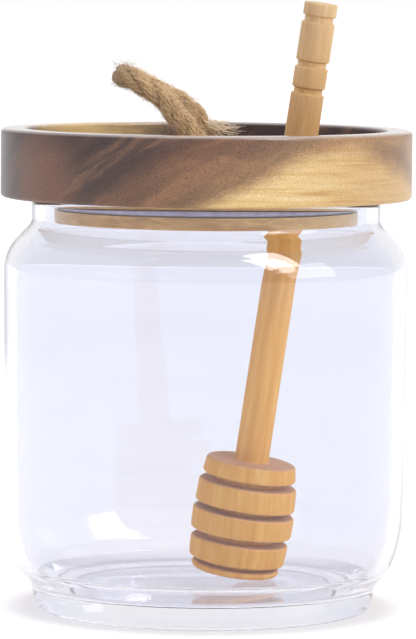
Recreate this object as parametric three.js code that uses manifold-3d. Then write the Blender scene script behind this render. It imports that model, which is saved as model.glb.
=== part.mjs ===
// A glass honey jar with an acacia lid, a rope loop on the lid and a turned wooden dipper.
// Units are millimetres. +Z is up, the jar's axis is the Z axis and the floor is z = 0.
// Seen from the front (along +Y) the rope leans to the left and the dipper to the right.

import * as THREE from 'three';
import { mergeVertices } from 'three/addons/utils/BufferGeometryUtils.js';
import Module from 'manifold-3d';

// Driving dimensions of the glass jar
const bodyRadius = 50;
const neckRadius = 43.1;
const footRadius = 41.4;
const wall = 3.2;
const jarHeight = 101.7;
const shoulderBottom = 88.6;
const shoulderTop = 95.8;
const footTopRadius = 43.2;
const footTop = 6.7;
const heelBottomRadius = 46.2;
const heelBottom = 9.7;
const heelTopRadius = 49.3;
const heelTop = 17.2;
const bodyBottomRadius = 49.6;
const bodyBottom = 30;
const footFillet = 1.4;
const footTopFillet = 2.5;
const heelBottomFillet = 4;
const heelTopFillet = 34;
const bodyBottomFillet = 60;
const shoulderFillet = 12;
const neckFillet = 3;
const rimFillet = 1.5;
const floorFillet = 3;
const innerFloor = 5.7;
const puntRadius = 33.5;
const puntFillet = 1;
const puntDepth = 0.5;

// Driving dimensions of the lid
const lidRadius = 50.8;
const lidGap = 0.3;
const lidThickness = 17;
const recessRadius = 44.5;
const recessDepth = 8;
const plugRadius = 37.5;
const plugDepth = 6.5;
const sealHeight = 2.7;
const sealGrooveDepth = 2.7;
const plugFillet = 1.2;
const lidBottomFillet = 1;
const lidTopFillet = 1.2;
const recessRimFillet = 1;
const recessFloorFillet = 2.5;
const lidBottom = jarHeight + lidGap;
const lidTop = lidBottom + lidThickness;
const recessFloor = lidTop - recessDepth;
const plugBottom = lidBottom - plugDepth;

// Driving dimensions of the seal ring that is stretched round the plug
const sealClearance = 0.3;
const sealBandRadius = 37.2;
const sealLipRadius = 39.6;
const sealLipThickness = 0.7;
const sealLipDrop = 0.6;

// Driving dimensions of the dipper, along its own axis from the bottom of the head
const dipperLength = 143.9;
const handleTopRadius = 4.1;
const handleFootRadius = 4.25;
const headCoreRadius = 8;
const dipperBottom = new THREE.Vector3(7.9, 5.6, 7.9);
const dipperLeanRight = THREE.MathUtils.degToRad(8);
const dipperLeanForward = THREE.MathUtils.degToRad(3.3);
const dipperHoleRadius = 6;
const handleEndFillet = 0.4;

// Thickness and radii of the head's discs, from the bottom up, and the grooves above each
const headDiscs = [
  { thickness: 1.8, lower: 10.4, upper: 11.7, groove: 1.2 },
  { thickness: 5.5, lower: 12.0, upper: 12.3, groove: 1.8 },
  { thickness: 5.6, lower: 12.65, upper: 12.75, groove: 1.4 },
  { thickness: 5.8, lower: 12.55, upper: 12.25, groove: 1.5 },
  { thickness: 4.1, lower: 11.75, upper: 11.15, groove: 0 },
];
const discEdge = 0.7;

// Rings cut round the handle's top, each by the distance of its middle from the top end
const handleRings = [
  { fromTop: 4.0, width: 2.0 },
  { fromTop: 15.2, width: 1.9 },
  { fromTop: 21.8, width: 1.8 },
];
const handleRingDepth = 0.6;
const handleRingSlope = 0.35;

// Driving dimensions of the rope loop
const ropeRadius = 2.8;
const ropeSides = 8;
const ropeSteps = 32;
const ropeHoleRadius = 3.2;
const ropeHoleDepth = 3.8;

// How far the cutters of the lid's holes stand out of the wood
const cutterExtra = 1;

// Route of the rope's middle line: up out of the front hole, round the bight on the left,
// and back down into the rear hole
const ropeRoute = [
  [-1.2, -3.6, 107.6],
  [-1.2, -3.6, 110.6],
  [-1.9, -3.6, 113.7],
  [-3.1, -3.6, 116.8],
  [-5.0, -3.7, 119.6],
  [-7.2, -4.0, 122.0],
  [-9.3, -4.2, 124.6],
  [-11.4, -4.5, 127.1],
  [-13.9, -4.6, 129.0],
  [-16.7, -4.5, 130.5],
  [-19.7, -3.2, 131.5],
  [-20.9, 0, 132.0],
  [-19.7, 3.2, 131.7],
  [-17.0, 4.5, 130.2],
  [-14.2, 4.6, 128.7],
  [-11.5, 4.4, 127.5],
  [-8.6, 4.1, 126.2],
  [-5.7, 3.9, 124.7],
  [-3.3, 3.7, 122.4],
  [-1.6, 3.6, 119.7],
  [-0.4, 3.6, 116.7],
  [0.6, 3.6, 113.5],
  [1.0, 3.6, 110.4],
  [1.0, 3.6, 107.6],
];

// Fineness of the round shapes: small fillets take coarser arcs than large ones
const jarSegments = 48;
const lidSegments = 48;
const sealSegments = 40;
const dipperSegments = 20;
const holeSegments = 20;
const smallFillet = 3;
const smallArcStep = THREE.MathUtils.degToRad(50);
const largeArcStep = THREE.MathUtils.degToRad(20);

// Turns a list of corners {r, z, fillet} into a polyline whose corners are rounded by arcs.
function roundCorners(corners) {
  const points = [];
  corners.forEach((corner, index) => {
    const here = new THREE.Vector2(corner.r, corner.z);
    const before = corners[index - 1];
    const after = corners[index + 1];
    if (!corner.fillet || !before || !after) {
      points.push(here);
      return;
    }
    const back = new THREE.Vector2(before.r, before.z).sub(here).normalize();
    const ahead = new THREE.Vector2(after.r, after.z).sub(here).normalize();
    const half = Math.acos(THREE.MathUtils.clamp(back.dot(ahead), -1, 1)) / 2;
    const reach = corner.fillet / Math.tan(half);
    const middle = back.clone().add(ahead).normalize();
    const centre = here.clone().addScaledVector(middle, corner.fillet / Math.sin(half));
    const first = here.clone().addScaledVector(back, reach).sub(centre);
    const turn = Math.PI - 2 * half;
    const side = Math.sign(back.cross(ahead));
    const arcStep = corner.fillet > smallFillet ? largeArcStep : smallArcStep;
    const steps = Math.max(1, Math.ceil(turn / arcStep));
    for (let step = 0; step <= steps; step += 1) {
      const angle = (-side * turn * step) / steps;
      points.push(first.clone().rotateAround(new THREE.Vector2(), angle).add(centre));
    }
  });
  return points;
}

// The same run of corners set in towards the axis by a distance, with its arcs still concentric.
function insetCorners(corners, distance) {
  const normals = corners.slice(1).map((corner, index) => {
    const along = new THREE.Vector2(corner.r - corners[index].r, corner.z - corners[index].z);
    return new THREE.Vector2(-along.y, along.x).normalize();
  });
  return corners.map((corner, index) => {
    const before = normals[Math.max(index - 1, 0)];
    const after = normals[Math.min(index, normals.length - 1)];
    const shift = before.clone().add(after).multiplyScalar(distance / (1 + before.dot(after)));
    const bulge = Math.sign(before.cross(after));
    return {
      r: corner.r + shift.x,
      z: corner.z + shift.y,
      fillet: corner.fillet - bulge * distance,
    };
  });
}

// Spins a profile of (radius, height) points round the Z axis.
function spin(points, segments) {
  const geometry = new THREE.LatheGeometry(points, segments);
  return geometry.rotateX(Math.PI / 2);
}

// A closed geometry as a manifold solid, and back.
const wasm = await Module();
wasm.setup();

function toSolid(geometry) {
  const plain = geometry.clone();
  plain.deleteAttribute('normal');
  plain.deleteAttribute('uv');
  const merged = mergeVertices(plain);
  return new wasm.Manifold(
    new wasm.Mesh({
      numProp: 3,
      vertProperties: new Float32Array(merged.attributes.position.array),
      triVerts: new Uint32Array(merged.index.array),
    }),
  );
}

function toGeometry(solid) {
  const mesh = solid.getMesh();
  const geometry = new THREE.BufferGeometry();
  geometry.setAttribute('position', new THREE.BufferAttribute(mesh.vertProperties, 3));
  geometry.setIndex(new THREE.BufferAttribute(mesh.triVerts, 1));
  geometry.computeVertexNormals();
  return geometry;
}

// An upright round cutter between two heights.
function uprightCutter(x, y, low, high, radius) {
  const height = high - low;
  const cutter = new THREE.CylinderGeometry(radius, radius, height, holeSegments);
  cutter.rotateX(Math.PI / 2);
  cutter.translate(x, y, low + height / 2);
  return toSolid(cutter);
}

// The jar: a foot with a shallow punt, a heel that widens in two steps, a straight body and a
// round shoulder under a straight neck. Inside, the same side set in by the wall runs down to
// a flat floor.
function jarGeometry() {
  const foot = [
    { r: 0, z: puntDepth },
    { r: puntRadius - puntFillet, z: puntDepth, fillet: puntFillet },
    { r: puntRadius, z: 0, fillet: puntFillet },
    { r: footRadius, z: 0, fillet: footFillet },
  ];
  const side = [
    { r: footTopRadius, z: footTop, fillet: footTopFillet },
    { r: heelBottomRadius, z: heelBottom, fillet: heelBottomFillet },
    { r: heelTopRadius, z: heelTop, fillet: heelTopFillet },
    { r: bodyBottomRadius, z: bodyBottom, fillet: bodyBottomFillet },
    { r: bodyRadius, z: shoulderBottom, fillet: shoulderFillet },
    { r: neckRadius, z: shoulderTop, fillet: neckFillet },
    { r: neckRadius, z: jarHeight, fillet: rimFillet },
  ];
  const inside = insetCorners(side, wall);
  const [heelLow, heelHigh] = inside;
  const share = (innerFloor - heelLow.z) / (heelHigh.z - heelLow.z);
  const floorEdge = THREE.MathUtils.lerp(heelLow.r, heelHigh.r, share);
  inside[0] = { r: floorEdge, z: innerFloor, fillet: floorFillet };
  inside[inside.length - 1].fillet = rimFillet;
  const centre = { r: 0, z: innerFloor };
  return spin(roundCorners([...foot, ...side, ...inside.reverse(), centre]), jarSegments);
}

// The lid: a thick turned disc with a round tray in its top and a plug below that fits the
// neck, grooved for the seal. The dipper's hole goes right through, the rope's two are blind.
function lidGeometry() {
  const grooveFloor = plugRadius - sealGrooveDepth;
  const grooveBottom = lidBottom - sealHeight - sealClearance;
  const profile = [
    { r: 0, z: plugBottom },
    { r: plugRadius, z: plugBottom, fillet: plugFillet },
    { r: plugRadius, z: grooveBottom },
    { r: grooveFloor, z: grooveBottom },
    { r: grooveFloor, z: lidBottom },
    { r: lidRadius, z: lidBottom, fillet: lidBottomFillet },
    { r: lidRadius, z: lidTop, fillet: lidTopFillet },
    { r: recessRadius, z: lidTop, fillet: recessRimFillet },
    { r: recessRadius, z: recessFloor, fillet: recessFloorFillet },
    { r: 0, z: recessFloor },
  ];
  let solid = toSolid(spin(roundCorners(profile), lidSegments));
  const throughMiddle = dipperPointAt((plugBottom + recessFloor) / 2);
  const holeBottom = plugBottom - cutterExtra;
  const holeTop = recessFloor + cutterExtra;
  const dipperHole = [throughMiddle.x, throughMiddle.y, holeBottom, holeTop];
  solid = solid.subtract(uprightCutter(...dipperHole, dipperHoleRadius));
  for (const end of [ropeRoute[0], ropeRoute[ropeRoute.length - 1]]) {
    const ropeHole = [end[0], end[1], recessFloor - ropeHoleDepth, holeTop];
    solid = solid.subtract(uprightCutter(...ropeHole, ropeHoleRadius));
  }
  return toGeometry(solid);
}

// The seal: a band in the plug's groove with one thin lip that reaches towards the neck.
function sealGeometry() {
  const inner = plugRadius - sealGrooveDepth + sealClearance;
  const top = lidBottom - sealClearance;
  const bottom = lidBottom - sealHeight;
  const lipTop = top - sealLipDrop;
  const lipBottom = lipTop - sealLipThickness;
  const ring = [
    { r: inner, z: bottom },
    { r: sealBandRadius, z: bottom },
    { r: sealBandRadius, z: lipBottom },
    { r: sealLipRadius, z: lipBottom },
    { r: sealLipRadius, z: lipTop },
    { r: sealBandRadius, z: lipTop },
    { r: sealBandRadius, z: top },
    { r: inner, z: top },
    { r: inner, z: bottom },
  ];
  return spin(roundCorners(ring), sealSegments);
}

// The rope: a round section swept once along the whole loop.
function ropeGeometry() {
  const section = new THREE.Shape();
  for (let side = 0; side < ropeSides; side += 1) {
    const angle = (2 * Math.PI * side) / ropeSides;
    const corner = [ropeRadius * Math.cos(angle), ropeRadius * Math.sin(angle)];
    if (side === 0) section.moveTo(...corner);
    else section.lineTo(...corner);
  }
  section.closePath();
  const route = ropeRoute.map((point) => new THREE.Vector3(...point));
  const extrudePath = new THREE.CatmullRomCurve3(route, false, 'centripetal');
  return new THREE.ExtrudeGeometry(section, { steps: ropeSteps, extrudePath });
}

// Unit vector up the dipper, and the point of its axis at a given height.
function dipperDirection() {
  const right = Math.tan(dipperLeanRight);
  const forward = Math.tan(dipperLeanForward);
  return new THREE.Vector3(right, -forward, 1).normalize();
}

function dipperPointAt(height) {
  const direction = dipperDirection();
  const distance = (height - dipperBottom.z) / direction.z;
  return dipperBottom.clone().addScaledVector(direction, distance);
}

// The dipper: five discs with deep grooves between them, then a long slightly tapered
// handle with three shallow rings cut near its end, all turned from one piece.
function dipperGeometry() {
  const corners = [{ r: 0, z: 0 }];
  let height = 0;
  headDiscs.forEach((disc, index) => {
    const last = index === headDiscs.length - 1;
    const top = height + disc.thickness;
    corners.push({ r: disc.lower, z: height, fillet: discEdge });
    corners.push({ r: disc.upper, z: top, fillet: discEdge });
    if (!last) {
      corners.push({ r: headCoreRadius, z: top });
      corners.push({ r: headCoreRadius, z: top + disc.groove });
    }
    height = top + disc.groove;
  });
  corners.push({ r: handleFootRadius, z: height });
  const taper = (handleTopRadius - handleFootRadius) / (dipperLength - height);
  const radiusAt = (z) => handleFootRadius + taper * (z - height);
  for (const ring of [...handleRings].reverse()) {
    const middle = dipperLength - ring.fromTop;
    const low = middle - ring.width / 2;
    const high = middle + ring.width / 2;
    corners.push({ r: radiusAt(low), z: low });
    corners.push({ r: radiusAt(low) - handleRingDepth, z: low + handleRingSlope });
    corners.push({ r: radiusAt(high) - handleRingDepth, z: high - handleRingSlope });
    corners.push({ r: radiusAt(high), z: high });
  }
  corners.push({ r: handleTopRadius, z: dipperLength, fillet: handleEndFillet });
  corners.push({ r: 0, z: dipperLength });
  return spin(roundCorners(corners), dipperSegments);
}

const glass = new THREE.MeshStandardMaterial({
  color: 0xebedf8,
  roughness: 0.03,
  metalness: 0,
  transparent: true,
  opacity: 0.3,
});
const acacia = new THREE.MeshStandardMaterial({ color: 0x96704f, roughness: 0.55, metalness: 0 });
const silicone = new THREE.MeshStandardMaterial({ color: 0x99939b, roughness: 0.5, metalness: 0 });
const jute = new THREE.MeshStandardMaterial({ color: 0xb29469, roughness: 0.95, metalness: 0 });
const beech = new THREE.MeshStandardMaterial({ color: 0xd7a564, roughness: 0.6, metalness: 0 });

function named(name, geometry, material) {
  const mesh = new THREE.Mesh(geometry, material);
  mesh.name = name;
  return mesh;
}

const dipper = named('dipper', dipperGeometry(), beech);
dipper.position.copy(dipperBottom);
dipper.quaternion.setFromUnitVectors(new THREE.Vector3(0, 0, 1), dipperDirection());

const honeyJar = new THREE.Group();
honeyJar.add(named('jar', jarGeometry(), glass));
honeyJar.add(named('lid', lidGeometry(), acacia));
honeyJar.add(named('seal_ring', sealGeometry(), silicone));
honeyJar.add(named('rope_loop', ropeGeometry(), jute));
honeyJar.add(dipper);

export default honeyJar;
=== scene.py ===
# Looks of a glass honey jar with an acacia lid, a jute rope loop and a turned wooden dipper.
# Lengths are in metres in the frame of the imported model, and MM is a millimetre. Places in
# shaders, the rope's route and fibres, and the discs and rings are in plain millimetres.

import math
import random

import bpy
import numpy as np
from mathutils import Matrix, Vector


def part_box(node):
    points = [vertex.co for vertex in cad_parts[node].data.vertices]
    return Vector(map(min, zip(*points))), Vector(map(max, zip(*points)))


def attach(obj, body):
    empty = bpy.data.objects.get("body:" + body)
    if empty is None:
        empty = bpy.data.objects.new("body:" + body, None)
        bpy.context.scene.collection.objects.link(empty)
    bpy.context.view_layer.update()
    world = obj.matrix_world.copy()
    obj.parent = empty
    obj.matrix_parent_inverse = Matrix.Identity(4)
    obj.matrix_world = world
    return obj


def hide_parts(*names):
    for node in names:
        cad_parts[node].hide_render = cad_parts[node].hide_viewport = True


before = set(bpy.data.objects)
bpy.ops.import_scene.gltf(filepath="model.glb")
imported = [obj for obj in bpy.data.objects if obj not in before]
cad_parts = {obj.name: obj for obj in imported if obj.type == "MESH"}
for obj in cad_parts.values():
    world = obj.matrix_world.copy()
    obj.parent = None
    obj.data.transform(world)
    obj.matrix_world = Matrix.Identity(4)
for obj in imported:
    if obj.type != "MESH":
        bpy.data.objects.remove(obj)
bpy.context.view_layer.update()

MM = 0.001
SEED = 7

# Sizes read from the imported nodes
JAR_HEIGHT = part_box("jar")[1][2]
LID_LOW, LID_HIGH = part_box("lid")
LID_RADIUS = LID_HIGH[0]
LID_TOP = LID_HIGH[2]
PLUG_BOTTOM = LID_LOW[2]

# Sizes of the glass
BODY_RADIUS = 50 * MM
NECK_RADIUS = 43.1 * MM
FOOT_RADIUS = 41.4 * MM
WALL = 3.2 * MM
SHOULDER_BOTTOM = 88.6 * MM
SHOULDER_TOP = 95.8 * MM
FOOT_TOP_RADIUS = 43.2 * MM
FOOT_TOP = 6.7 * MM
HEEL_BOTTOM_RADIUS = 46.2 * MM
HEEL_BOTTOM = 9.7 * MM
HEEL_TOP_RADIUS = 49.3 * MM
HEEL_TOP = 17.2 * MM
BODY_BOTTOM_RADIUS = 49.6 * MM
BODY_BOTTOM = 30 * MM
FOOT_FILLET = 1.4 * MM
FOOT_TOP_FILLET = 2.5 * MM
HEEL_BOTTOM_FILLET = 4 * MM
HEEL_TOP_FILLET = 34 * MM
BODY_BOTTOM_FILLET = 60 * MM
SHOULDER_FILLET = 12 * MM
NECK_FILLET = 3 * MM
RIM_FILLET = 1.5 * MM
FLOOR_FILLET = 3 * MM
INNER_FLOOR = 5.7 * MM
PUNT_RADIUS = 33.5 * MM
PUNT_FILLET = 1 * MM
PUNT_DEPTH = 0.5 * MM

# Sizes of the lid
LID_GAP = 0.3 * MM
LID_BOTTOM = JAR_HEIGHT + LID_GAP
LID_BOTTOM_FILLET = 1 * MM
LID_TOP_FILLET = 1.2 * MM
RECESS_RADIUS = 44.5 * MM
RECESS_DEPTH = 8 * MM
RECESS_FLOOR = LID_TOP - RECESS_DEPTH
RECESS_RIM_FILLET = 1 * MM
RECESS_FLOOR_FILLET = 2.5 * MM
PLUG_RADIUS = 37.5 * MM
PLUG_FILLET = 1.2 * MM
ROPE_HOLE_RADIUS = 3.2 * MM
ROPE_HOLE_DEPTH = 3.8 * MM
DIPPER_HOLE_RADIUS = 6 * MM
CUTTER_EXTRA = 1 * MM

# Sizes of the seal and the groove that it sits in
SEAL_HEIGHT = 2.7 * MM
SEAL_GROOVE = 2.7 * MM
SEAL_GAP = 0.3 * MM
SEAL_BAND_RADIUS = 37.2 * MM
SEAL_BAND_FILLET = 0.3 * MM
SEAL_LIP_RADIUS = 39.6 * MM
SEAL_LIP_THICKNESS = 0.7 * MM
SEAL_LIP_DROP = 0.6 * MM
SEAL_LIP_FILLET = 0.2 * MM

# Sizes of the dipper, along its own axis from the bottom of the head
DIPPER_LENGTH = 143.9 * MM
HANDLE_TOP_RADIUS = 4.1 * MM
HANDLE_FOOT_RADIUS = 4.25 * MM
HANDLE_FOOT_FILLET = 0.5 * MM
HANDLE_END_FILLET = 0.4 * MM
HEAD_CORE_RADIUS = 8 * MM
DISC_EDGE = 0.7 * MM
GROOVE_FILLET = 0.2 * MM
DIPPER_BOTTOM = Vector((7.9, 5.6, 7.9)) * MM
LEAN_RIGHT = math.radians(8)
LEAN_FORWARD = math.radians(3.3)
RING_DEPTH = 0.6 * MM
RING_SLOPE = 0.35 * MM
RING_EDGE_FILLET = 0.12 * MM
RING_FLOOR_FILLET = 0.25 * MM
# Thickness, lower radius, upper radius and groove above, in millimetres, from the bottom up
HEAD_DISCS = (
    (1.8, 10.4, 11.7, 1.2),
    (5.5, 12.0, 12.3, 1.8),
    (5.6, 12.65, 12.75, 1.4),
    (5.8, 12.55, 12.25, 1.5),
    (4.1, 11.75, 11.15, 0),
)
# Distance from the top end to the middle of each ring, and its width, in millimetres
HANDLE_RINGS = ((4.0, 2.0), (15.2, 1.9), (21.8, 1.8))

# Sizes of the rope, and the route of its middle line in millimetres
ROPE_DIAMETER = 5.6 * MM
ROPE_ROUTE = (
    (-1.2, -3.6, 107.6),
    (-1.2, -3.6, 110.6),
    (-1.9, -3.6, 113.7),
    (-3.1, -3.6, 116.8),
    (-5.0, -3.7, 119.6),
    (-7.2, -4.0, 122.0),
    (-9.3, -4.2, 124.6),
    (-11.4, -4.5, 127.1),
    (-13.9, -4.6, 129.0),
    (-16.7, -4.5, 130.5),
    (-19.7, -3.2, 131.5),
    (-20.9, 0, 132.0),
    (-19.7, 3.2, 131.7),
    (-17.0, 4.5, 130.2),
    (-14.2, 4.6, 128.7),
    (-11.5, 4.4, 127.5),
    (-8.6, 4.1, 126.2),
    (-5.7, 3.9, 124.7),
    (-3.3, 3.7, 122.4),
    (-1.6, 3.6, 119.7),
    (-0.4, 3.6, 116.7),
    (0.6, 3.6, 113.5),
    (1.0, 3.6, 110.4),
    (1.0, 3.6, 107.6),
)

# Strands of the rope, each a core wrapped in yarns. A pair gives the range that a value of each
# yarn is drawn from: its shift round the core as a share of a turn between yarns, how far it
# sinks in and how thick it is as shares of its radius, and its wobble's length in millimetres
ROPE_STRANDS = 3
ROPE_PITCH = 17 * MM
STRAND_OFFSET = 1.45 * MM
STRAND_RADIUS = 1.35 * MM
YARNS = 13
YARN_RADIUS = 0.34 * MM
YARN_PITCH = 12 * MM
CORE_RADIUS = STRAND_RADIUS - 1.2 * YARN_RADIUS
YARN_SHIFT = (-0.3, 0.3)
YARN_SINK = (0.6, 1.15)
YARN_THICKNESS = (0.7, 1.15)
YARN_WOBBLE = 0.06
YARN_WOBBLE_LENGTH = (2.0, 5.0)
YARN_WOBBLE_START = (0, 6)

# Loose fibres on the rope, and the longer ones that fan out where it meets the lid. A pair is
# again a range, with lengths and places in millimetres and FUZZ_ROOT in rope diameters
FIBRE_TAPER = 0.6
FUZZ_COUNT = 2600
FUZZ_RADIUS = 0.045 * MM
FUZZ_THICKNESS = (0.6, 1.2)
FUZZ_ROOT = (0.40, 0.50)
FUZZ_ALONG = (0.6, 1.0)
FUZZ_OUTWARD = (0.05, 0.45)
FUZZ_BEND = (-0.3, 0.3)
FUZZ_LENGTH = (1.0, 4.5)
FRAY_COUNT = 60
FRAY_RADIUS = 0.09 * MM
FRAY_FOOT = (0.6, 1.6, 120.0)
FRAY_SPREAD = (-1.5, 1.5)
FRAY_DIRECTION = ((0.6, 1.0), (-0.5, 0.5), (-0.7, 0.05))
FRAY_BEND = ((-0.1, 0.3), (-0.3, 0.3), (-0.1, 0.5))
FRAY_LENGTH = (4, 8)

# Fineness of the meshes
JAR_SEGMENTS = 144
LID_SEGMENTS = 192
SEAL_SEGMENTS = 160
DIPPER_SEGMENTS = 96
HOLE_SEGMENTS = 64
JAR_ARC_STEP = math.radians(1.2)
LID_ARC_STEP = math.radians(10)
SEAL_ARC_STEP = math.radians(30)
DIPPER_ARC_STEP = math.radians(15)
DIPPER_STEP = 1.5 * MM
ROUTE_STEPS = 9
CORE_SIDES = 10
YARN_SIDES = 5
FIBRE_SIDES = 3
FIBRE_STEPS = 5
SAME_POINT = 1e-7
HARD_EDGE = math.radians(35)
FIBRE_EDGE = math.radians(80)

# Growth layers of the lid's wood: where they start below it, their rise for each millimetre to
# the front right, and how far they wander, in millimetres
GROWTH_START = 21.1
GROWTH_TILT = 0.62
GROWTH_WANDER = 9.0
# Middle of a warmer patch in the heartwood, in millimetres
WARM_PATCH = (-39.0, -32.0, 106.5)

# Woods, rope and seal: 8-bit screen colours, each ramp by place from 0 to 1
HEARTWOOD = (
    (0.00, (176, 140, 96)),
    (0.30, (148, 110, 80)),
    (0.62, (142, 103, 74)),
    (0.85, (102, 76, 64)),
    (1.00, (92, 69, 60)),
)
HEARTWOOD_BANDS = (
    (0.32, (206, 200, 200)),
    (0.47, (228, 224, 222)),
    (0.57, (250, 244, 238)),
    (0.70, (255, 238, 218)),
)
HEARTWOOD_VEIN = (160, 118, 84)
HEARTWOOD_WARM = (136, 92, 66)
SAPWOOD = (
    (0.30, (196, 146, 80)),
    (0.42, (218, 180, 114)),
    (0.58, (230, 200, 140)),
    (0.75, (236, 210, 156)),
)
# Painted shade that darkens the sapwood towards the right
SAPWOOD_RIGHT_SHADE = (184, 144, 90)
PLUG_WOOD = ((0.30, (166, 118, 54)), (0.50, (194, 146, 74)), (0.70, (220, 182, 110)))
PLUG_RIGHT = (228, 194, 128)
LID_SPECKS = ((0.34, (160, 152, 152)), (0.50, (228, 226, 224)), (0.64, (255, 255, 255)))
# Painted sheen on the level top face of the lid's rim
LID_RIM_SHEEN = (216, 200, 186)
BEECH_GOLDEN = (
    (0.30, (220, 154, 58)),
    (0.48, (230, 167, 72)),
    (0.62, (237, 180, 88)),
    (0.78, (243, 194, 108)),
)
BEECH_PALE = ((0.30, (196, 162, 114)), (0.50, (208, 175, 130)), (0.75, (219, 190, 149)))
BEECH_FIBRES = ((0.3, (232, 226, 220)), (0.6, (255, 255, 255)))
BEECH_END_GRAIN = (196, 156, 138)
SILICONE = ((0.35, (166, 158, 176)), (0.70, (192, 186, 204)))
JUTE_YARN = ((0.3, (144, 110, 70)), (0.5, (202, 166, 114)), (0.7, (230, 204, 156)))
JUTE_FUZZ = ((0.3, (190, 160, 116)), (0.5, (222, 196, 152)), (0.7, (240, 222, 186)))
JUTE_FRAY = ((0.3, (200, 176, 136)), (0.5, (232, 212, 176)), (0.7, (246, 232, 204)))
# Painted shade at the loop's left end
JUTE_TIP_SHADE = (112, 84, 54)

# Glass, floor and surroundings: linear colours
WHITE = (1, 1, 1, 1)
BLACK = (0, 0, 0, 1)
# Painted shade: the glass is a little darker on its right than on its left
GLASS_LIT_LEFT = (0.845, 0.850, 0.898, 1)
GLASS_SHADED_RIGHT = (0.832, 0.838, 0.888, 1)
GLASS_SHADOW = (0.95, 0.95, 0.98, 1)
FLOOR_PAPER = ((0.3, (0.78, 0.78, 0.74, 1)), (0.7, (0.81, 0.81, 0.77, 1)))
SURROUNDINGS = (
    (0.00, (0.62, 0.63, 0.78, 1)),
    (0.60, (0.80, 0.81, 0.92, 1)),
    (0.95, WHITE),
)
# Glow of the floor, by distance from the middle as a share of its reach in millimetres
GLOW_REACH = 4000.0
FLOOR_GLOW = ((0.00, 0.34), (0.06, 0.22), (0.20, 0.24), (0.35, 0.38), (1.00, 0.65))
FLOOR_HALF = 6.0
# Darkness of the painted shadow round the jar's foot
CONTACT_SHADE = 0.26

# Camera: the photograph's place and angle
CAMERA_DISTANCE = 1.05
CAMERA_HEIGHT = 0.158
CAMERA_ASIDE = 0.0007
CAMERA_PITCH = math.radians(4.7)
CAMERA_ROLL = math.radians(0.5)
CAMERA_LENS_MM = 239.4
CAMERA_SENSOR_MM = 36
CAMERA_NEAREST = 0.05
CAMERA_FARTHEST = 50

# Bounces of light, enough for glass seen through glass
ALL_BOUNCES = 20
GLOSSY_BOUNCES = 8

# Lights
LIGHT_TARGET = (0, 0, 0.08)
FILL_COLOUR = (1.0, 0.86, 0.68)


def add_camera():
    data = bpy.data.cameras.new("camera")
    data.lens = CAMERA_LENS_MM
    data.sensor_width = CAMERA_SENSOR_MM
    data.clip_start = CAMERA_NEAREST
    data.clip_end = CAMERA_FARTHEST
    camera = bpy.data.objects.new("camera", data)
    turn = Matrix.Rotation(math.pi / 2 - CAMERA_PITCH, 4, "X") @ Matrix.Rotation(CAMERA_ROLL, 4, "Z")
    camera.matrix_world = Matrix.Translation((CAMERA_ASIDE, -CAMERA_DISTANCE, CAMERA_HEIGHT)) @ turn
    bpy.context.scene.collection.objects.link(camera)
    bpy.context.scene.camera = camera


# Meshes


def shade_smooth(mesh, sharp_angle):
    mesh.polygons.foreach_set("use_smooth", [True] * len(mesh.polygons))
    mesh.set_sharp_from_angle(angle=sharp_angle)


def new_object(name, vertices, faces, sharp_angle=HARD_EDGE):
    mesh = bpy.data.meshes.new(name)
    mesh.from_pydata([tuple(v) for v in vertices], [], faces)
    mesh.update()
    shade_smooth(mesh, sharp_angle)
    piece = bpy.data.objects.new(name, mesh)
    bpy.context.scene.collection.objects.link(piece)
    return piece


def round_corners(corners, arc_step):
    """Polyline through (radius, height, fillet) corners, with each corner rounded by an arc."""
    points = []
    for index, (radius, height, fillet) in enumerate(corners):
        here = Vector((radius, height))
        if not fillet or index in (0, len(corners) - 1):
            points.append(here)
            continue
        back = (Vector(corners[index - 1][:2]) - here).normalized()
        ahead = (Vector(corners[index + 1][:2]) - here).normalized()
        half = back.angle(ahead) / 2
        turn = math.pi - 2 * half
        side = math.copysign(1, back.cross(ahead))
        centre = here + (back + ahead).normalized() * (fillet / math.sin(half))
        spoke = here + back * (fillet / math.tan(half)) - centre
        steps = max(2, math.ceil(turn / arc_step))
        for step in range(steps + 1):
            angle = -side * turn * step / steps
            points.append(centre + Matrix.Rotation(angle, 2) @ spoke)
    return points


def subdivide(points, longest):
    """The same polyline with no step longer than the given length."""
    result = [points[0]]
    for start, end in zip(points, points[1:]):
        pieces = max(1, math.ceil((end - start).length / longest))
        result += [start.lerp(end, part / pieces) for part in range(1, pieces + 1)]
    return result


def lathe(name, points, segments):
    """Spins (radius, height) points round the Z axis. A point on the axis is one vertex."""
    closed = (points[0] - points[-1]).length < SAME_POINT
    if closed:
        points = points[:-1]
    vertices = []
    rings = []
    for radius, height in points:
        first = len(vertices)
        if radius < SAME_POINT:
            vertices.append((0.0, 0.0, height))
            rings.append([first] * segments)
            continue
        for segment in range(segments):
            angle = 2 * math.pi * segment / segments
            vertices.append((radius * math.cos(angle), radius * math.sin(angle), height))
        rings.append(list(range(first, first + segments)))
    faces = []
    pairs = list(zip(rings, rings[1:]))
    if closed:
        pairs.append((rings[-1], rings[0]))
    for low, high in pairs:
        for segment in range(segments):
            after = (segment + 1) % segments
            corners = (low[segment], low[after], high[after], high[segment])
            face = tuple(dict.fromkeys(corners))
            if len(face) > 2:
                faces.append(face)
    return new_object(name, vertices, faces)


def cut(piece, cutters):
    """Takes the cutters out of the piece and deletes them."""
    for cutter in cutters:
        boolean = piece.modifiers.new("cut", "BOOLEAN")
        boolean.operation = "DIFFERENCE"
        boolean.solver = "EXACT"
        boolean.object = cutter
    graph = bpy.context.evaluated_depsgraph_get()
    mesh = bpy.data.meshes.new_from_object(piece.evaluated_get(graph))
    piece.modifiers.clear()
    piece.data = mesh
    shade_smooth(mesh, HARD_EDGE)
    for cutter in cutters:
        bpy.data.objects.remove(cutter)


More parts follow.
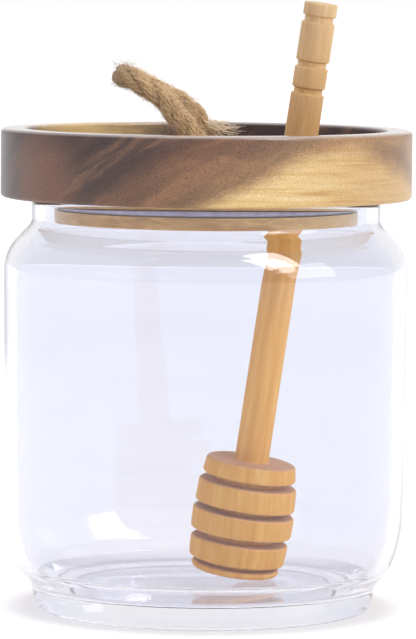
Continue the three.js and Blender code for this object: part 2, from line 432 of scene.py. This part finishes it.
def upright_cutter(x, y, low, high, radius):
    points = [Vector((0, low)), Vector((radius, low)), Vector((radius, high)), Vector((0, high))]
    cutter = lathe("cutter", points, HOLE_SEGMENTS)
    cutter.data.transform(Matrix.Translation((x, y, 0)))
    return cutter


# Node materials


def srgb(red, green, blue):
    """Linear colour of an 8-bit screen colour."""
    parts = []
    for value in (red, green, blue):
        share = value / 255
        parts.append(share / 12.92 if share <= 0.04045 else ((share + 0.055) / 1.055) ** 2.4)
    return (*parts, 1.0)


class Shader:
    """The node tree of a material or a world, with short calls for the nodes used here."""

    def __init__(self, owner):
        self.owner = owner
        owner.use_nodes = True
        self.tree = owner.node_tree
        self.tree.nodes.clear()

    def add(self, kind, inputs=None, **settings):
        node = self.tree.nodes.new("ShaderNode" + kind)
        for key, value in settings.items():
            setattr(node, key, value)
        for socket, value in (inputs or {}).items():
            self.feed(node.inputs[socket], value)
        return node

    def feed(self, socket, value):
        """Links the socket to another one, or sets its value."""
        if isinstance(value, bpy.types.NodeSocket):
            self.tree.links.new(value, socket)
        else:
            socket.default_value = value

    def math(self, operation, *values):
        return self.add("Math", dict(enumerate(values)), operation=operation).outputs[0]

    def times(self, value, factor):
        return self.math("MULTIPLY", value, factor)

    def spread(self, value, low, reach):
        """Low where the value is 0, and low plus reach where it is 1."""
        return self.math("ADD", self.times(value, reach), low)

    def fade(self, value, start, end, smooth=True):
        """0 at the start and 1 at the end."""
        kind = "SMOOTHSTEP" if smooth else "LINEAR"
        inputs = {"Value": value, "From Min": start, "From Max": end}
        return self.add("MapRange", inputs, interpolation_type=kind).outputs[0]

    def split(self, vector):
        return self.add("SeparateXYZ", {0: vector}).outputs

    def position(self, scale=(1, 1, 1)):
        """Object coordinates in millimetres, times a scale for each axis."""
        place = self.add("TexCoord").outputs["Object"]
        factors = tuple(part / MM for part in scale)
        return self.add("VectorMath", {0: place, 1: factors}, operation="MULTIPLY").outputs[0]

    def towards(self, axes, x, y):
        """How far a place lies in a level direction."""
        return self.math("ADD", self.times(axes[0], x), self.times(axes[1], y))

    def noise(self, vector, scale=1.0, detail=3.0, roughness=0.5, distortion=0.0):
        inputs = {
            "Vector": vector,
            "Scale": scale,
            "Detail": detail,
            "Roughness": roughness,
            "Distortion": distortion,
        }
        return self.add("TexNoise", inputs).outputs["Fac"]

    def ramp(self, value, stops):
        """Colour ramp through linear colours."""
        node = self.add("ValToRGB", {"Fac": value})
        elements = node.color_ramp.elements
        while len(elements) < len(stops):
            elements.new(0.5)
        for element, (place, colour) in zip(elements, stops):
            element.position = place
            element.color = colour
        return node.outputs["Color"]

    def screen_ramp(self, value, stops):
        """Colour ramp through 8-bit screen colours."""
        return self.ramp(value, [(place, srgb(*colour)) for place, colour in stops])

    def mix(self, factor, first, second, blend="MIX"):
        node = self.add("Mix", data_type="RGBA", blend_type=blend)
        for name, value in (("Factor_Float", factor), ("A_Color", first), ("B_Color", second)):
            self.feed(next(s for s in node.inputs if s.identifier == name), value)
        return next(s for s in node.outputs if s.identifier == "Result_Color")

    def bump(self, height, strength, distance):
        inputs = {"Height": height, "Strength": strength, "Distance": distance}
        return self.add("Bump", inputs).outputs["Normal"]

    def principled(self, inputs):
        return self.add("BsdfPrincipled", inputs).outputs[0]

    def finish(self, surface, output="OutputMaterial"):
        self.add(output, {"Surface": surface})
        return self.owner


def new_material(name):
    return Shader(bpy.data.materials.new(name))


def give(piece, material):
    piece.data.materials.clear()
    piece.data.materials.append(material)


def glass_material():
    """Clear glass, faintly cool and rippled, with painted shade that darkens it a little towards the right.
    It throws hardly any shadow.
    """
    shader = new_material("clear_glass")
    ripple = shader.noise(shader.position((0.03, 0.03, 0.012)), detail=1.0)
    to_right = shader.fade(shader.split(shader.position())[0], start=-45.0, end=45.0)
    glass = shader.principled(
        {
            "Base Color": shader.mix(to_right, GLASS_LIT_LEFT, GLASS_SHADED_RIGHT),
            "Roughness": 0.0,
            "IOR": 1.5,
            "Transmission Weight": 1.0,
            "Normal": shader.bump(ripple, strength=0.25, distance=0.6 * MM),
        }
    )
    clear = shader.add("BsdfTransparent", {"Color": GLASS_SHADOW}).outputs[0]
    path = shader.add("LightPath").outputs
    passing = shader.math("MAXIMUM", path["Is Shadow Ray"], path["Is Diffuse Ray"])
    mixed = shader.add("MixShader", {0: passing, 1: glass, 2: clear}).outputs[0]
    return shader.finish(mixed)


def acacia_growth(shader, axes, height):
    """Place across the growth layers, which rise to the front right, and how they wander."""
    drift = shader.noise(shader.position((0.045, 0.045, 0.09)), detail=4.0, roughness=0.55)
    wander = shader.times(shader.math("SUBTRACT", drift, 0.5), GROWTH_WANDER)
    tilted = shader.times(shader.towards(axes, x=0.72, y=-0.69), GROWTH_TILT)
    layer = shader.math("SUBTRACT", shader.math("ADD", height, GROWTH_START), tilted)
    return shader.math("ADD", layer, wander), wander


def acacia_sapwood_share(shader, axes, growth, wander):
    """1 in the sapwood, at the front right and at the back left."""
    edge = shader.math("SUBTRACT", growth, shader.times(axes[0], 0.12))
    far_right = shader.times(shader.fade(axes[0], start=34.0, end=50.0), 7.0)
    front = shader.fade(shader.math("ADD", edge, far_right), start=2.6, end=-3.0)
    to_back_left = shader.math("ADD", shader.towards(axes, x=-0.75, y=0.66), wander)
    back = shader.fade(to_back_left, start=34.0, end=46.0)
    return shader.math("MAXIMUM", front, back)


def acacia_heartwood(shader, place, axes, growth):
    """Darker up the layers, with light bands and veins and one warmer patch."""
    banded = {0: shader.times(growth, 0.16), 1: shader.times(axes[0], 0.03), 2: shader.times(axes[1], 0.03)}
    layers = shader.add("CombineXYZ", banded).outputs[0]
    bands = shader.noise(layers, scale=1.2, detail=2.0, roughness=0.5, distortion=0.1)
    depth = shader.math("SUBTRACT", growth, shader.times(axes[0], 0.15))
    ripe = shader.fade(depth, start=1.0, end=23.0, smooth=False)
    base = shader.screen_ramp(ripe, HEARTWOOD)
    colour = shader.mix(1.0, base, shader.screen_ramp(bands, HEARTWOOD_BANDS), "MULTIPLY")
    vein_share = shader.times(shader.fade(axes[0], start=-42.0, end=-26.0), 0.6)
    veins = shader.math("MULTIPLY", shader.fade(bands, start=0.50, end=0.66), vein_share)
    colour = shader.mix(veins, colour, srgb(*HEARTWOOD_VEIN))
    from_patch = shader.add("VectorMath", {0: place, 1: WARM_PATCH}, operation="DISTANCE").outputs["Value"]
    warm = shader.times(shader.fade(from_patch, start=16.0, end=5.0), 0.7)
    return shader.mix(warm, colour, srgb(*HEARTWOOD_WARM))


def acacia_sapwood(shader, axes):
    """Golden, with fine level streaks, and painted shade that darkens it towards the right."""
    grain = shader.position((0.05, 0.05, 1.1))
    streaks = shader.noise(grain, detail=5.0, roughness=0.65, distortion=0.3)
    to_right = shader.times(shader.fade(axes[0], start=16.0, end=44.0), 0.65)
    return shader.mix(to_right, shader.screen_ramp(streaks, SAPWOOD), srgb(*SAPWOOD_RIGHT_SHADE))


def acacia_plug(shader, axes):
    """Plainer wood of the plug, lighter towards the right."""
    grain = shader.noise(shader.position((0.16, 0.3, 1.1)), detail=5.0, roughness=0.65)
    to_right = shader.times(shader.fade(axes[0], start=5.0, end=36.0), 0.6)
    return shader.mix(to_right, shader.screen_ramp(grain, PLUG_WOOD), srgb(*PLUG_RIGHT))


def acacia_material():
    """Dark purplish heartwood and golden sapwood with fine specks, glossier on level faces, with a painted
    pale sheen on the top of the rim.
    """
    shader = new_material("acacia")
    place = shader.position()
    axes = shader.split(place)
    height = shader.math("SUBTRACT", axes[2], LID_BOTTOM / MM)
    growth, wander = acacia_growth(shader, axes, height)
    sap = acacia_sapwood_share(shader, axes, growth, wander)
    heart = acacia_heartwood(shader, place, axes, growth)
    colour = shader.mix(sap, heart, acacia_sapwood(shader, axes))
    specks = shader.noise(shader.position((1.6, 1.6, 2.6)), scale=1.5, detail=3.0, roughness=0.75)
    speck_share = shader.math("SUBTRACT", 0.9, shader.times(sap, 0.4))
    colour = shader.mix(speck_share, colour, shader.screen_ramp(specks, LID_SPECKS), "MULTIPLY")
    on_plug = shader.fade(height, start=0.15, end=-0.15)
    colour = shader.mix(on_plug, colour, acacia_plug(shader, axes))
    facing = shader.split(shader.add("NewGeometry").outputs["Normal"])
    upward = shader.fade(facing[2], start=0.3, end=0.9)
    # Painted sheen: a pale tone laid on the level top of the rim, standing in for the light it catches
    rim_sheen = shader.math("MULTIPLY", upward, shader.fade(height, start=15.5, end=16.6))
    colour = shader.mix(shader.times(rim_sheen, 0.3), colour, srgb(*LID_RIM_SHEEN))
    shine = shader.fade(specks, start=0.2, end=0.8)
    wood = shader.principled(
        {
            "Base Color": colour,
            "Roughness": shader.spread(shine, low=0.40, reach=0.18),
            "IOR": 1.45,
            "Coat Weight": shader.spread(upward, low=0.3, reach=0.7),
            "Coat Roughness": 0.14,
            "Normal": shader.bump(specks, strength=0.35, distance=0.15 * MM),
        }
    )
    return shader.finish(wood)


def beech_material():
    """Turned light wood with the grain along the dipper, paler and greyer towards the top."""
    shader = new_material("turned_beech")
    axes = shader.split(shader.position())
    grain_place = shader.position((0.5, 0.5, 0.03))
    grain = shader.noise(grain_place, detail=5.0, roughness=0.6, distortion=0.2)
    golden = shader.screen_ramp(grain, BEECH_GOLDEN)
    pale = shader.screen_ramp(grain, BEECH_PALE)
    up = shader.fade(axes[2], start=62.0, end=145.0, smooth=False)
    colour = shader.mix(up, golden, pale)
    fibres = shader.noise(shader.position((4.0, 4.0, 0.12)), detail=4.0, roughness=0.7)
    colour = shader.mix(0.6, colour, shader.screen_ramp(fibres, BEECH_FIBRES), "MULTIPLY")
    facing = shader.split(shader.add("TexCoord").outputs["Normal"])
    end_grain = shader.fade(shader.math("ABSOLUTE", facing[2]), start=0.5, end=0.95)
    on_head = shader.math("MULTIPLY", end_grain, shader.fade(axes[2], start=60.0, end=50.0))
    colour = shader.mix(shader.times(on_head, 0.6), colour, srgb(*BEECH_END_GRAIN))
    wood = shader.principled(
        {
            "Base Color": colour,
            "Roughness": shader.spread(fibres, low=0.5, reach=0.2),
            "IOR": 1.42,
            "Normal": shader.bump(fibres, strength=0.3, distance=0.12 * MM),
        }
    )
    return shader.finish(wood)


def silicone_material():
    """Grey silicone with a faint haze, that light enters a little."""
    shader = new_material("grey_silicone")
    haze = shader.noise(shader.position((0.5, 0.5, 0.5)), detail=3.0)
    rubber = shader.principled(
        {
            "Base Color": shader.screen_ramp(haze, SILICONE),
            "Roughness": shader.spread(haze, low=0.35, reach=0.15),
            "IOR": 1.41,
            "Subsurface Weight": 0.3,
            "Subsurface Radius": (1.0, 1.0, 1.0),
            "Subsurface Scale": 1.5 * MM,
            "Normal": shader.bump(haze, strength=0.1, distance=0.1 * MM),
        }
    )
    return shader.finish(rubber)


def jute_material(name, stops):
    """Flecked fibre, with painted shade darkening the loop's left end."""
    shader = new_material(name)
    fleck = shader.noise(shader.position(), scale=1.4, detail=4.0, roughness=0.7)
    to_left = shader.fade(shader.split(shader.position())[0], start=-15.0, end=-22.0)
    tip_shade = shader.times(to_left, 0.55)
    fibre = shader.principled(
        {
            "Base Color": shader.mix(tip_shade, shader.screen_ramp(fleck, stops), srgb(*JUTE_TIP_SHADE)),
            "Roughness": shader.spread(fleck, low=0.65, reach=0.2),
            "Sheen Weight": 0.25,
            "Normal": shader.bump(fleck, strength=0.3, distance=0.1 * MM),
        }
    )
    return shader.finish(fibre)


# The rope loop


def smooth_route(route, steps_between):
    """Dense points on a smooth curve through the route, as an array in metres."""
    first = 2 * Vector(route[0]) - Vector(route[1])
    last = 2 * Vector(route[-1]) - Vector(route[-2])
    points = np.array([first, *[Vector(point) for point in route], last]) * MM
    dense = []
    for before, start, end, after in zip(points, points[1:], points[2:], points[3:]):
        linear = end - before
        square = 2 * before - 5 * start + 4 * end - after
        cubic = 3 * start - before - 3 * end + after
        for step in range(steps_between):
            t = step / steps_between
            dense.append(0.5 * (2 * start + linear * t + square * t**2 + cubic * t**3))
    dense.append(points[-2])
    return np.array(dense)


def carried_frames(points):
    """Tangents, and two directions across that turn as little as they can along the curve."""
    tangents = np.gradient(points, axis=0)
    tangents /= np.linalg.norm(tangents, axis=1)[:, None]
    upright = abs(tangents[0][2]) >= 0.9
    sideways = np.cross(tangents[0], (0.0, 1.0, 0.0) if upright else (0.0, 0.0, 1.0))
    across = []
    for tangent in tangents:
        sideways = sideways - tangent * np.dot(sideways, tangent)
        sideways /= np.linalg.norm(sideways)
        across.append(sideways)
    across = np.array(across)
    return tangents, across, np.cross(tangents, across)


def tube(points, radii, sides, vertices, faces):
    """Adds a closed tube along the points to the lists of vertices and faces."""
    _, first, second = carried_frames(points)
    start = len(vertices)
    for centre, one, two, radius in zip(points, first, second, radii):
        for side in range(sides):
            angle = 2 * math.pi * side / sides
            vertices.append(centre + radius * (math.cos(angle) * one + math.sin(angle) * two))
    for ring in range(len(points) - 1):
        low = start + ring * sides
        for side in range(sides):
            after = (side + 1) % sides
            faces.append((low + side, low + after, low + sides + after, low + sides + side))
    faces.append(tuple(start + side for side in reversed(range(sides))))
    last = start + (len(points) - 1) * sides
    faces.append(tuple(last + side for side in range(sides)))


def helix_offsets(distance, angle, radius, pitch, across, second):
    """How far a helix round a curve lies from it, at each point."""
    turn = angle + 2 * math.pi * distance / pitch
    return radius * (np.cos(turn)[:, None] * across + np.sin(turn)[:, None] * second)


def add_yarns(strand, distance, draw, vertices, faces):
    """Wraps a strand in yarns that turn against the rope's own twist."""
    _, across, second = carried_frames(strand)
    for yarn in range(YARNS):
        angle = 2 * math.pi * (yarn + draw.uniform(*YARN_SHIFT)) / YARNS
        reach = STRAND_RADIUS - YARN_RADIUS * draw.uniform(*YARN_SINK)
        length = draw.uniform(*YARN_WOBBLE_LENGTH) * MM
        wobble = 1 + YARN_WOBBLE * np.sin(distance / length + draw.uniform(*YARN_WOBBLE_START))
        turned = helix_offsets(distance, angle, reach, -YARN_PITCH, across, second)
        radii = YARN_RADIUS * draw.uniform(*YARN_THICKNESS) * np.ones(len(strand))
        tube(strand + turned * wobble[:, None], radii, YARN_SIDES, vertices, faces)


def make_rope(draw):
    path = smooth_route(ROPE_ROUTE, ROUTE_STEPS)
    distance = np.concatenate([[0], np.cumsum(np.linalg.norm(np.diff(path, axis=0), axis=1))])
    _, across, second = carried_frames(path)
    vertices, faces = [], []
    for strand in range(ROPE_STRANDS):
        phase = 2 * math.pi * strand / ROPE_STRANDS
        middle = path + helix_offsets(distance, phase, STRAND_OFFSET, ROPE_PITCH, across, second)
        tube(middle, [CORE_RADIUS] * len(path), CORE_SIDES, vertices, faces)
        add_yarns(middle, distance, draw, vertices, faces)
    rope = new_object("rope_strands", vertices, faces, FIBRE_EDGE)
    give(rope, jute_material("jute_yarn", JUTE_YARN))
    return rope, path, distance


def fibre(start, direction, length, bend, radius, vertices, faces):
    share = np.linspace(0, 1, FIBRE_STEPS)[:, None]
    points = start + direction * length * share + bend * length * share**2
    tube(points, radius * (1 - FIBRE_TAPER * share[:, 0]), FIBRE_SIDES, vertices, faces)


def make_fuzz(path, draw):
    """Loose fibres that stand off the rope's surface."""
    tangents, across, second = carried_frames(path)
    vertices, faces = [], []
    exposed = [index for index, point in enumerate(path) if point[2] > RECESS_FLOOR]
    for _ in range(FUZZ_COUNT):
        index = draw.choice(exposed)
        angle = draw.uniform(0, 2 * math.pi)
        outward = math.cos(angle) * across[index] + math.sin(angle) * second[index]
        start = path[index] + outward * ROPE_DIAMETER * draw.uniform(*FUZZ_ROOT)
        along = tangents[index] * draw.choice((-1, 1))
        direction = along * draw.uniform(*FUZZ_ALONG) + outward * draw.uniform(*FUZZ_OUTWARD)
        bend = np.array([draw.uniform(*FUZZ_BEND) for _ in range(3)])
        length = draw.uniform(*FUZZ_LENGTH) * MM
        radius = FUZZ_RADIUS * draw.uniform(*FUZZ_THICKNESS)
        fibre(start, direction, length, bend, radius, vertices, faces)
    fuzz = new_object("rope_fuzz", vertices, faces, FIBRE_EDGE)
    give(fuzz, jute_material("jute_fuzz", JUTE_FUZZ))
    return fuzz


def make_fray(draw):
    """Longer pale fibres that fan out to the right where the rope meets the lid."""
    vertices, faces = [], []
    foot = np.array(FRAY_FOOT) * MM
    for _ in range(FRAY_COUNT):
        start = foot + np.array([draw.uniform(*FRAY_SPREAD) for _ in range(3)]) * MM
        direction = np.array([draw.uniform(*limits) for limits in FRAY_DIRECTION])
        direction /= np.linalg.norm(direction)
        bend = np.array([draw.uniform(*limits) for limits in FRAY_BEND])
        length = draw.uniform(*FRAY_LENGTH) * MM
        fibre(start, direction, length, bend, FRAY_RADIUS, vertices, faces)
    fray = new_object("rope_fray", vertices, faces, FIBRE_EDGE)
    give(fray, jute_material("jute_fray", JUTE_FRAY))
    return fray


def add_rope():
    draw = random.Random(SEED)
    rope, path, distance = make_rope(draw)
    fuzz = make_fuzz(path, draw)
    fray = make_fray(draw)
    for piece in (rope, fuzz, fray):
        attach(piece, "root")
    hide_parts("rope_loop")


# The jar, lid, seal and dipper


def inset_corners(corners, distance):
    """The same run of corners set in towards the axis, with its arcs still concentric."""
    normals = []
    for (r0, z0, _), (r1, z1, _) in zip(corners, corners[1:]):
        along = Vector((r1 - r0, z1 - z0)).normalized()
        normals.append(Vector((-along.y, along.x)))
    inset = []
    for index, (radius, height, fillet) in enumerate(corners):
        before = normals[max(index - 1, 0)]
        after = normals[min(index, len(normals) - 1)]
        shift = (before + after) * (distance / (1 + before.dot(after)))
        bulge = 0 if index in (0, len(corners) - 1) else math.copysign(1, before.cross(after))
        inset.append((radius + shift.x, height + shift.y, fillet - bulge * distance))
    return inset


def jar_profile():
    """Outline from the middle of the punt up the outside and down the inside to its floor."""
    foot = [
        (0, PUNT_DEPTH, 0),
        (PUNT_RADIUS - PUNT_FILLET, PUNT_DEPTH, PUNT_FILLET),
        (PUNT_RADIUS, 0, PUNT_FILLET),
        (FOOT_RADIUS, 0, FOOT_FILLET),
    ]
    side = [
        (FOOT_TOP_RADIUS, FOOT_TOP, FOOT_TOP_FILLET),
        (HEEL_BOTTOM_RADIUS, HEEL_BOTTOM, HEEL_BOTTOM_FILLET),
        (HEEL_TOP_RADIUS, HEEL_TOP, HEEL_TOP_FILLET),
        (BODY_BOTTOM_RADIUS, BODY_BOTTOM, BODY_BOTTOM_FILLET),
        (BODY_RADIUS, SHOULDER_BOTTOM, SHOULDER_FILLET),
        (NECK_RADIUS, SHOULDER_TOP, NECK_FILLET),
        (NECK_RADIUS, JAR_HEIGHT, RIM_FILLET),
    ]
    inside = inset_corners(side, WALL)
    heel_low, heel_high = inside[:2]
    share = (INNER_FLOOR - heel_low[1]) / (heel_high[1] - heel_low[1])
    floor_edge = heel_low[0] + share * (heel_high[0] - heel_low[0])
    inside[0] = (floor_edge, INNER_FLOOR, FLOOR_FILLET)
    inside[-1] = (*inside[-1][:2], RIM_FILLET)
    return round_corners([*foot, *side, *reversed(inside), (0, INNER_FLOOR, 0)], JAR_ARC_STEP)


def add_jar():
    jar = lathe("jar_glass", jar_profile(), JAR_SEGMENTS)
    give(jar, glass_material())
    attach(jar, "root")
    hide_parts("jar")


def lid_profile():
    """Outline from the middle of the plug's underside round to the middle of the tray."""
    groove_floor = PLUG_RADIUS - SEAL_GROOVE
    groove_bottom = LID_BOTTOM - SEAL_HEIGHT - SEAL_GAP
    corners = [
        (0, PLUG_BOTTOM, 0),
        (PLUG_RADIUS, PLUG_BOTTOM, PLUG_FILLET),
        (PLUG_RADIUS, groove_bottom, 0),
        (groove_floor, groove_bottom, 0),
        (groove_floor, LID_BOTTOM, 0),
        (LID_RADIUS, LID_BOTTOM, LID_BOTTOM_FILLET),
        (LID_RADIUS, LID_TOP, LID_TOP_FILLET),
        (RECESS_RADIUS, LID_TOP, RECESS_RIM_FILLET),
        (RECESS_RADIUS, RECESS_FLOOR, RECESS_FLOOR_FILLET),
        (0, RECESS_FLOOR, 0),
    ]
    return round_corners(corners, LID_ARC_STEP)


def add_lid():
    lid = lathe("lid_board", lid_profile(), LID_SEGMENTS)
    top = RECESS_FLOOR + CUTTER_EXTRA
    middle = dipper_point_at((PLUG_BOTTOM + RECESS_FLOOR) / 2)
    below_plug = PLUG_BOTTOM - CUTTER_EXTRA
    cutters = [upright_cutter(middle.x, middle.y, below_plug, top, DIPPER_HOLE_RADIUS)]
    for x, y, _ in (ROPE_ROUTE[0], ROPE_ROUTE[-1]):
        bottom = RECESS_FLOOR - ROPE_HOLE_DEPTH
        cutters.append(upright_cutter(x * MM, y * MM, bottom, top, ROPE_HOLE_RADIUS))
    cut(lid, cutters)
    give(lid, acacia_material())
    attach(lid, "root")
    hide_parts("lid")


def seal_profile():
    """Closed outline of the band in the groove and its one lip."""
    inner = PLUG_RADIUS - SEAL_GROOVE + SEAL_GAP
    top = LID_BOTTOM - SEAL_GAP
    bottom = LID_BOTTOM - SEAL_HEIGHT
    lip_top = top - SEAL_LIP_DROP
    lip_bottom = lip_top - SEAL_LIP_THICKNESS
    corners = [
        (inner, bottom, 0),
        (SEAL_BAND_RADIUS, bottom, SEAL_BAND_FILLET),
        (SEAL_BAND_RADIUS, lip_bottom, SEAL_LIP_FILLET),
        (SEAL_LIP_RADIUS, lip_bottom, SEAL_LIP_FILLET),
        (SEAL_LIP_RADIUS, lip_top, SEAL_LIP_FILLET),
        (SEAL_BAND_RADIUS, lip_top, SEAL_LIP_FILLET),
        (SEAL_BAND_RADIUS, top, SEAL_BAND_FILLET),
        (inner, top, 0),
        (inner, bottom, 0),
    ]
    return round_corners(corners, SEAL_ARC_STEP)


def add_seal():
    seal = lathe("seal_band", seal_profile(), SEAL_SEGMENTS)
    give(seal, silicone_material())
    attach(seal, "root")
    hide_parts("seal_ring")


def dipper_direction():
    return Vector((math.tan(LEAN_RIGHT), -math.tan(LEAN_FORWARD), 1)).normalized()


def dipper_point_at(height):
    direction = dipper_direction()
    return DIPPER_BOTTOM + direction * ((height - DIPPER_BOTTOM.z) / direction.z)


def head_corners():
    """Corners of the discs and grooves, and the height of the head's top."""
    corners = [(0, 0, 0)]
    height = 0
    for index, (thickness, lower, upper, groove) in enumerate(HEAD_DISCS):
        last = index == len(HEAD_DISCS) - 1
        top = height + thickness * MM
        corners.append((lower * MM, height, DISC_EDGE))
        corners.append((upper * MM, top, DISC_EDGE))
        if not last:
            corners.append((HEAD_CORE_RADIUS, top, GROOVE_FILLET))
            corners.append((HEAD_CORE_RADIUS, top + groove * MM, GROOVE_FILLET))
        height = top + groove * MM
    return corners, height


def handle_corners(foot):
    """Corners of the tapered handle and its rings, above a foot at the given height."""
    taper = (HANDLE_TOP_RADIUS - HANDLE_FOOT_RADIUS) / (DIPPER_LENGTH - foot)

    def radius_at(z):
        return HANDLE_FOOT_RADIUS + taper * (z - foot)

    corners = [(HANDLE_FOOT_RADIUS, foot, HANDLE_FOOT_FILLET)]
    for from_top, width in reversed(HANDLE_RINGS):
        middle = DIPPER_LENGTH - from_top * MM
        low = middle - width * MM / 2
        high = middle + width * MM / 2
        corners.append((radius_at(low), low, RING_EDGE_FILLET))
        corners.append((radius_at(low) - RING_DEPTH, low + RING_SLOPE, RING_FLOOR_FILLET))
        corners.append((radius_at(high) - RING_DEPTH, high - RING_SLOPE, RING_FLOOR_FILLET))
        corners.append((radius_at(high), high, RING_EDGE_FILLET))
    corners.append((HANDLE_TOP_RADIUS, DIPPER_LENGTH, HANDLE_END_FILLET))
    corners.append((0, DIPPER_LENGTH, 0))
    return corners


def dipper_profile():
    head, head_top = head_corners()
    corners = [*head, *handle_corners(head_top)]
    return subdivide(round_corners(corners, DIPPER_ARC_STEP), DIPPER_STEP)


def add_dipper():
    dipper = lathe("dipper_turned", dipper_profile(), DIPPER_SEGMENTS)
    turn = Vector((0, 0, 1)).rotation_difference(dipper_direction())
    dipper.matrix_world = Matrix.Translation(DIPPER_BOTTOM) @ turn.to_matrix().to_4x4()
    give(dipper, beech_material())
    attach(dipper, "root")
    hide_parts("dipper")


# Floor, surroundings and lights


def floor_material():
    """Pale paper, with a painted shadow round where the foot ring stands on it, and a glow that grows far
    away.
    """
    shader = new_material("pale_floor")
    away = shader.add("VectorMath", {0: shader.position()}, operation="LENGTH").outputs["Value"]
    # Painted shadow in a ring round the jar's foot, on the paper and on its glow
    outside = shader.fade(away, start=55.0, end=43.0)
    inside = shader.fade(away, start=37.0, end=42.0)
    contact_shadow = shader.times(shader.math("MULTIPLY", outside, inside), CONTACT_SHADE)
    mottle = shader.noise(shader.position((0.01, 0.01, 0.01)), detail=2.0)
    colour = shader.mix(contact_shadow, shader.ramp(mottle, FLOOR_PAPER), BLACK)
    paper = shader.add("BsdfDiffuse", {"Color": colour, "Roughness": 0.5}).outputs[0]
    stops = [(place, (glow, glow, glow, 1)) for place, glow in FLOOR_GLOW]
    glowing = shader.ramp(shader.math("DIVIDE", away, GLOW_REACH), stops)
    strength = shader.math("MULTIPLY", glowing, shader.math("SUBTRACT", 1.0, contact_shadow))
    glow = shader.add("Emission", {"Color": WHITE, "Strength": strength}).outputs[0]
    return shader.finish(shader.add("AddShader", {0: paper, 1: glow}).outputs[0])


def add_floor():
    half = FLOOR_HALF
    vertices = [(-half, -half, 0), (half, -half, 0), (half, half, 0), (-half, half, 0)]
    floor = new_object("floor", vertices, [(0, 1, 2, 3)])
    give(floor, floor_material())


def add_surroundings():
    """White where the camera sees it. Around the jar it is white towards the back, and cooler
    and a little darker to the sides, above and in front."""
    shader = Shader(bpy.data.worlds.new("studio"))
    axes = shader.split(shader.add("TexCoord").outputs["Generated"])
    to_back = shader.math("MULTIPLY_ADD", axes[1], 0.5, 0.5)
    around = shader.add("Background", {"Color": shader.ramp(to_back, SURROUNDINGS)}).outputs[0]
    seen = shader.add("Background", {"Color": WHITE}).outputs[0]
    from_camera = shader.add("LightPath").outputs["Is Camera Ray"]
    mixed = shader.add("MixShader", {0: from_camera, 1: around, 2: seen}).outputs[0]
    bpy.context.scene.world = shader.finish(mixed, "OutputWorld")


def add_softbox(name, place, width, height, power):
    data = bpy.data.lights.new(name, "AREA")
    data.shape = "RECTANGLE"
    data.size = width
    data.size_y = height
    data.energy = power
    light = bpy.data.objects.new(name, data)
    light.location = place
    aim = Vector(LIGHT_TARGET) - Vector(place)
    light.rotation_euler = aim.to_track_quat("-Z", "Y").to_euler()
    bpy.context.scene.collection.objects.link(light)
    return light


def add_lights():
    """The key and high lights make the glints. The side and fill lights only light surfaces."""
    add_softbox("key", place=(0.94, -0.81, 0.69), width=0.22, height=0.16, power=0.7)
    high = add_softbox("high", place=(0.728, -0.590, 1.15), width=0.43, height=0.8, power=13.0)
    high.visible_diffuse = False
    side = add_softbox("side", place=(1.3, -0.55, 0.75), width=0.9, height=0.9, power=10.0)
    side.visible_glossy = False
    add_softbox("top", place=(0.0, 0.15, 1.6), width=1.4, height=1.4, power=9.0)
    fill = add_softbox("fill", place=(-1.1, -0.9, 0.6), width=0.7, height=0.9, power=2.0)
    fill.data.color = FILL_COLOUR
    fill.visible_glossy = False


def set_screen():
    """Plain screen colours, and enough light bounces for glass seen through glass."""
    paths = bpy.context.scene.cycles
    paths.max_bounces = ALL_BOUNCES
    paths.transmission_bounces = ALL_BOUNCES
    paths.glossy_bounces = GLOSSY_BOUNCES
    view = bpy.context.scene.view_settings
    view.view_transform = "Standard"
    view.look = "None"
    view.exposure = 0.0


add_camera()
add_rope()
add_jar()
add_lid()
add_seal()
add_dipper()
add_floor()
add_surroundings()
add_lights()
set_screen()
